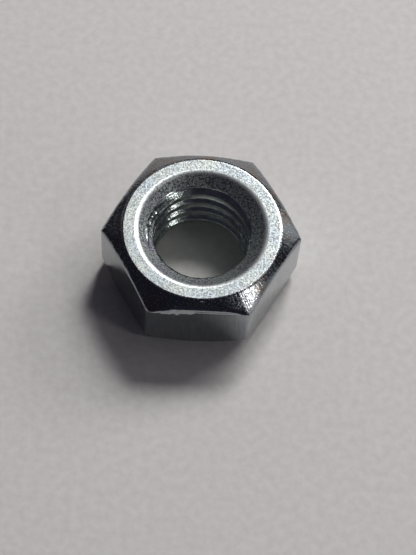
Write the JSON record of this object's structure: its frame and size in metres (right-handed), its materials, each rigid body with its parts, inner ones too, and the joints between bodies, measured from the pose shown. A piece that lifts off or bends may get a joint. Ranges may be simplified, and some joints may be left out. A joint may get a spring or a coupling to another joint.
{
  "type": "hex nut",
  "caption": "Plain steel hexagon nut with a coarse metric thread, chamfered corners and a coned mouth at each end of the hole.",
  "frame": {"origin": "centre of the lower bearing face, on the axis of the thread", "axes": "+Z along the thread's axis, from the lower bearing face to the upper one; +X through a corner of the hexagon; +Y square to a flat"},
  "size_m": [0.0148, 0.0128, 0.0063],
  "materials": {
    "zinc_plated_steel": "bright zinc plating on cold formed steel, finely stippled on the bearing faces and drawn smooth on the flats"
  },
  "bodies": {
    "root": {"hex_nut": "zinc_plated_steel"}
  },
  "joints": []
}
